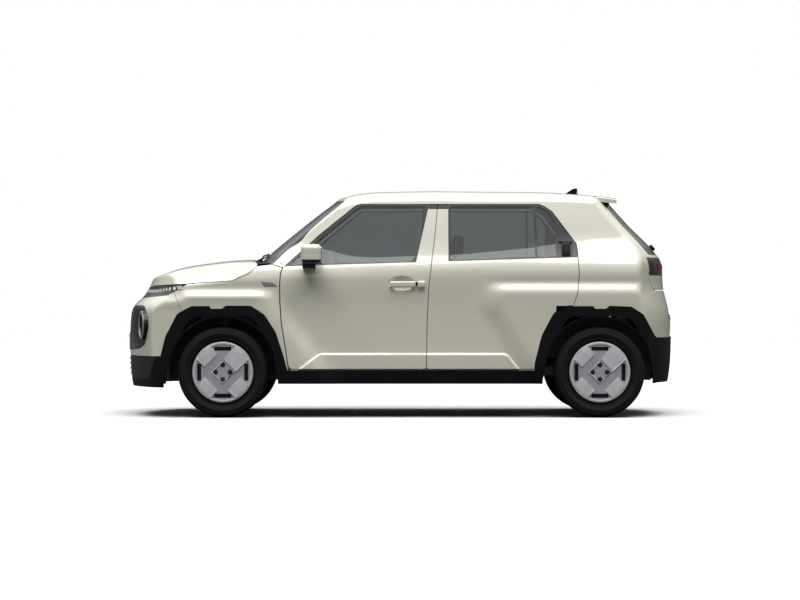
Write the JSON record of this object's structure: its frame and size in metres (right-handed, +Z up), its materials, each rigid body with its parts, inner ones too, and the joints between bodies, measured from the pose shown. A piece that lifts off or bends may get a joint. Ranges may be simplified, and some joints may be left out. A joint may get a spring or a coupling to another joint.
{
  "type": "five-door electric city car",
  "caption": "Small five-door electric hatchback with hinged doors, hood and tailgate, coupled steering and free-turning wheels.",
  "frame": {"origin": "on the ground at mid length and mid width, below the middle of the car", "axes": "+X to the tail, +Y to the right of the car, +Z up"},
  "size_m": [3.8365, 1.954, 1.6001],
  "materials": {
    "paint": "gloss",
    "cladding": "grained",
    "face_black": "satin",
    "silver_trim": "satin",
    "glass": "tinted",
    "lens": "clear over white",
    "tail_lens": "clear over red",
    "tyre": "matte",
    "wheel_silver": "satin",
    "chassis": "coated",
    "motor": "cast",
    "interior": "grained",
    "seat_cloth": "woven",
    "body_inner": "satin"
  },
  "bodies": {
    "car_body": {"side_frame_left": "paint", "fender_left": "paint", "cladding_left": "cladding", "front_seat_left": "seat_cloth", "side_frame_right": "paint", "fender_right": "paint", "cladding_right": "cladding", "front_seat_right": "seat_cloth", "roof_panel": "paint", "rear_bumper": "paint", "rear_lower_trim": "cladding", "windshield": "glass", "cowl_panel": "cladding", "signal_strip": "face_black", "front_bumper": "paint", "front_face": "face_black", "headlights": "lens", "front_lower_trim": "silver_trim", "underbody": "body_inner", "battery_pack": "motor", "drive_unit": "motor", "front_subframe": "chassis", "rear_axle": "chassis", "rear_seat": "seat_cloth", "dashboard": "interior", "centre_console": "interior", "wipers": "cladding", "roof_antenna": "cladding", "charge_inlet": "interior"},
    "front_door_left": {"front_door_left": "paint", "front_door_glass_left": "glass", "mirror_left": "paint"},
    "rear_door_left": {"rear_door_left": "paint", "rear_door_glass_left": "glass"},
    "knuckle_left": {"steering_knuckle_left": "chassis"},
    "front_wheel_left": {"wheel_front_left": "wheel_silver", "tyre_front_left": "tyre"},
    "rear_wheel_left": {"wheel_rear_left": "wheel_silver", "tyre_rear_left": "tyre"},
    "front_door_right": {"front_door_right": "paint", "front_door_glass_right": "glass", "mirror_right": "paint"},
    "rear_door_right": {"rear_door_right": "paint", "rear_door_glass_right": "glass"},
    "knuckle_right": {"steering_knuckle_right": "chassis"},
    "front_wheel_right": {"wheel_front_right": "wheel_silver", "tyre_front_right": "tyre"},
    "rear_wheel_right": {"wheel_rear_right": "wheel_silver", "tyre_rear_right": "tyre"},
    "hood": {"hood": "paint"},
    "tailgate": {"tailgate": "paint", "tailgate_glass": "glass", "tail_lamp_panel": "tail_lens"},
    "steering_wheel": {"steering_wheel": "interior"},
    "charge_lid": {"charge_lid": "face_black"}
  },
  "joints": [
    {"name": "steer_left", "type": "hinge", "parent": "car_body", "child": "knuckle_left", "pos_m": [-1.2125, -0.64, 0.2], "axis": [0, 0.1833, 0.9831], "range_deg": [-34, 34]},
    {"name": "front_wheel_left_spin", "type": "hinge", "parent": "knuckle_left", "child": "front_wheel_left", "pos_m": [-1.2125, -0.7, 0.311], "axis": [0, -1, 0], "continuous": true},
    {"name": "rear_wheel_left_spin", "type": "hinge", "parent": "car_body", "child": "rear_wheel_left", "pos_m": [1.3675, -0.7, 0.311], "axis": [0, -1, 0], "continuous": true},
    {"name": "front_door_left_hinge", "type": "hinge", "parent": "car_body", "child": "front_door_left", "pos_m": [-0.7825, -0.795, 0.6], "axis": [0, 0, -1], "range_deg": [0, 65]},
    {"name": "rear_door_left_hinge", "type": "hinge", "parent": "car_body", "child": "rear_door_left", "pos_m": [0.2045, -0.772, 0.6], "axis": [0, 0, -1], "range_deg": [0, 68]},
    {"name": "steer_right", "type": "hinge", "parent": "car_body", "child": "knuckle_right", "pos_m": [-1.2125, 0.64, 0.2], "axis": [0, -0.1833, 0.9831], "range_deg": [-34, 34]},
    {"name": "front_wheel_right_spin", "type": "hinge", "parent": "knuckle_right", "child": "front_wheel_right", "pos_m": [-1.2125, 0.7, 0.311], "axis": [0, -1, 0], "continuous": true},
    {"name": "rear_wheel_right_spin", "type": "hinge", "parent": "car_body", "child": "rear_wheel_right", "pos_m": [1.3675, 0.7, 0.311], "axis": [0, -1, 0], "continuous": true},
    {"name": "front_door_right_hinge", "type": "hinge", "parent": "car_body", "child": "front_door_right", "pos_m": [-0.7825, 0.795, 0.6], "axis": [0, 0, 1], "range_deg": [0, 65]},
    {"name": "rear_door_right_hinge", "type": "hinge", "parent": "car_body", "child": "rear_door_right", "pos_m": [0.2045, 0.772, 0.6], "axis": [0, 0, 1], "range_deg": [0, 68]},
    {"name": "hood_hinge", "type": "hinge", "parent": "car_body", "child": "hood", "pos_m": [-0.9355, 0, 1.075], "axis": [0, 1, 0], "range_deg": [0, 48]},
    {"name": "tailgate_hinge", "type": "hinge", "parent": "car_body", "child": "tailgate", "pos_m": [1.3535, 0, 1.546], "axis": [0, -1, 0], "range_deg": [0, 78]},
    {"name": "steering_wheel_turn", "type": "hinge", "parent": "car_body", "child": "steering_wheel", "pos_m": [-0.3855, -0.35, 0.965], "axis": [0.9063, 0, 0.4226], "range_deg": [-480, 480]},
    {"name": "charge_lid_hinge", "type": "hinge", "parent": "car_body", "child": "charge_lid", "pos_m": [-1.908, -0.15, 0.65], "axis": [0, 0, -1], "range_deg": [0, 100]}
  ],
  "couplings": [
    {"joint": "steer_right", "follows": "steer_left", "ratio": 1},
    {"joint": "steering_wheel_turn", "follows": "steer_left", "ratio": 14}
  ]
}
